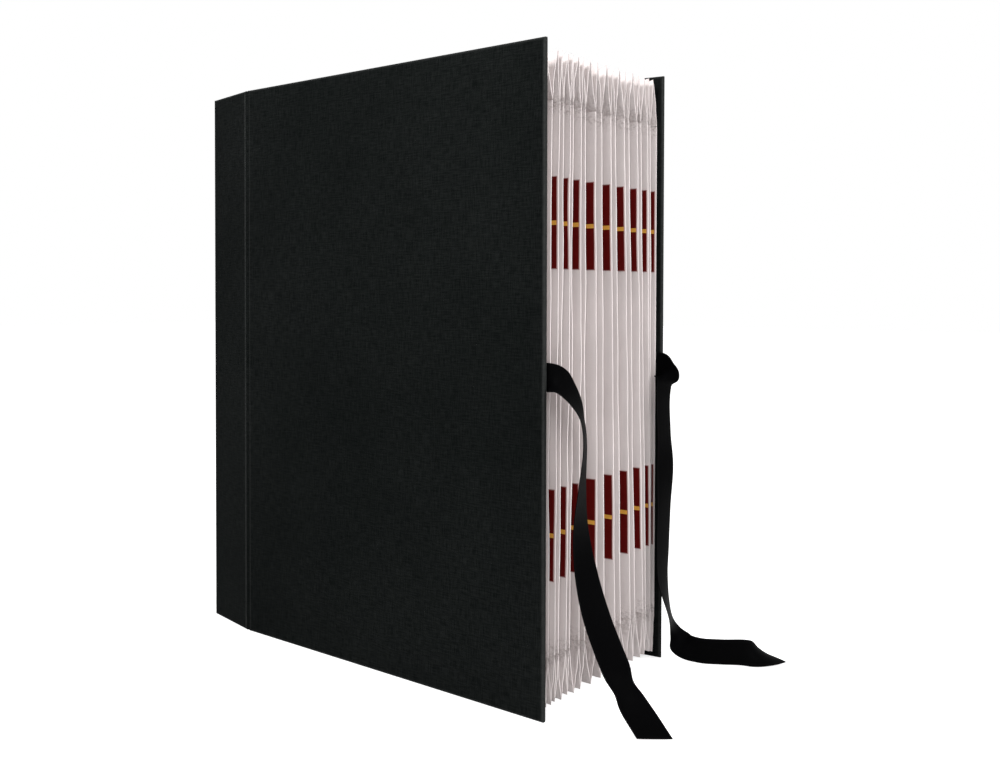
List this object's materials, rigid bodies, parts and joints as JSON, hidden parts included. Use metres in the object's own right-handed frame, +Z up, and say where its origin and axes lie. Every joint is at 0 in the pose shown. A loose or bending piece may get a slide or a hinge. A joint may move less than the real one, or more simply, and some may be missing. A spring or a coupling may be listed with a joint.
{
  "type": "expanding file",
  "caption": "Upright book-style expanding file: cloth-covered hinged boards around a fan of pleated white paper pockets, with red and gold index labels and two black ribbon ties.",
  "frame": {"origin": "middle of the footprint, on the floor, with the ribbon ties left out", "axes": "+Z up along the spine, +X from the spine towards the pockets' mouth, the front cover towards -Y"},
  "size_m": [0.3574, 0.167, 0.35],
  "materials": {
    "book_cloth": "fine woven black book cloth over board, matt",
    "hinge_cloth": "the same black book cloth, pressed into the joint",
    "lining": "black lining paper",
    "pocket_paper": "stiff off-white paper, matt",
    "bellows_paper": "thin off-white pleated paper, matt",
    "label": "dark red coated paper with a gold band",
    "ribbon": "black satin ribbon"
  },
  "bodies": {
    "case": {"spine_board": "book_cloth", "spine_lining": "lining", "front_hinge_strip": "book_cloth", "front_spine_cloth": "hinge_cloth", "front_hinge_cloth": "hinge_cloth", "back_hinge_strip": "book_cloth", "back_spine_cloth": "hinge_cloth", "back_hinge_cloth": "hinge_cloth", "leaf_00": "pocket_paper", "leaf_01": "pocket_paper", "leaf_02": "pocket_paper", "leaf_03": "pocket_paper", "leaf_04": "pocket_paper", "leaf_05": "pocket_paper", "leaf_06": "pocket_paper", "leaf_07": "pocket_paper", "leaf_08": "pocket_paper", "leaf_09": "pocket_paper", "leaf_10": "pocket_paper", "leaf_11": "pocket_paper", "leaf_12": "pocket_paper", "leaf_13": "pocket_paper", "leaf_14": "pocket_paper", "leaf_15": "pocket_paper", "leaf_16": "pocket_paper", "leaf_17": "pocket_paper", "leaf_18": "pocket_paper", "top_bellows": "bellows_paper", "bottom_bellows": "bellows_paper", "back_bellows": "bellows_paper", "upper_label_01": "label", "lower_label_01": "label", "upper_label_02": "label", "lower_label_02": "label", "upper_label_03": "label", "lower_label_03": "label", "upper_label_04": "label", "lower_label_04": "label", "upper_label_05": "label", "lower_label_05": "label", "upper_label_06": "label", "lower_label_06": "label", "upper_label_07": "label", "lower_label_07": "label", "upper_label_08": "label", "lower_label_08": "label", "upper_label_09": "label", "lower_label_09": "label"},
    "front": {"front_cover": "book_cloth", "front_lining": "lining", "front_ribbon": "ribbon"},
    "back": {"back_cover": "book_cloth", "back_lining": "lining", "back_ribbon": "ribbon"}
  },
  "joints": [
    {"name": "front_cover_hinge", "type": "hinge", "parent": "case", "child": "front", "pos_m": [-0.09707, -0.04805, 0.175], "axis": [0, 0, -1], "range_deg": [0, 150]},
    {"name": "back_cover_hinge", "type": "hinge", "parent": "case", "child": "back", "pos_m": [-0.09707, 0.04805, 0.175], "axis": [0, 0, 1], "range_deg": [0, 150]}
  ]
}
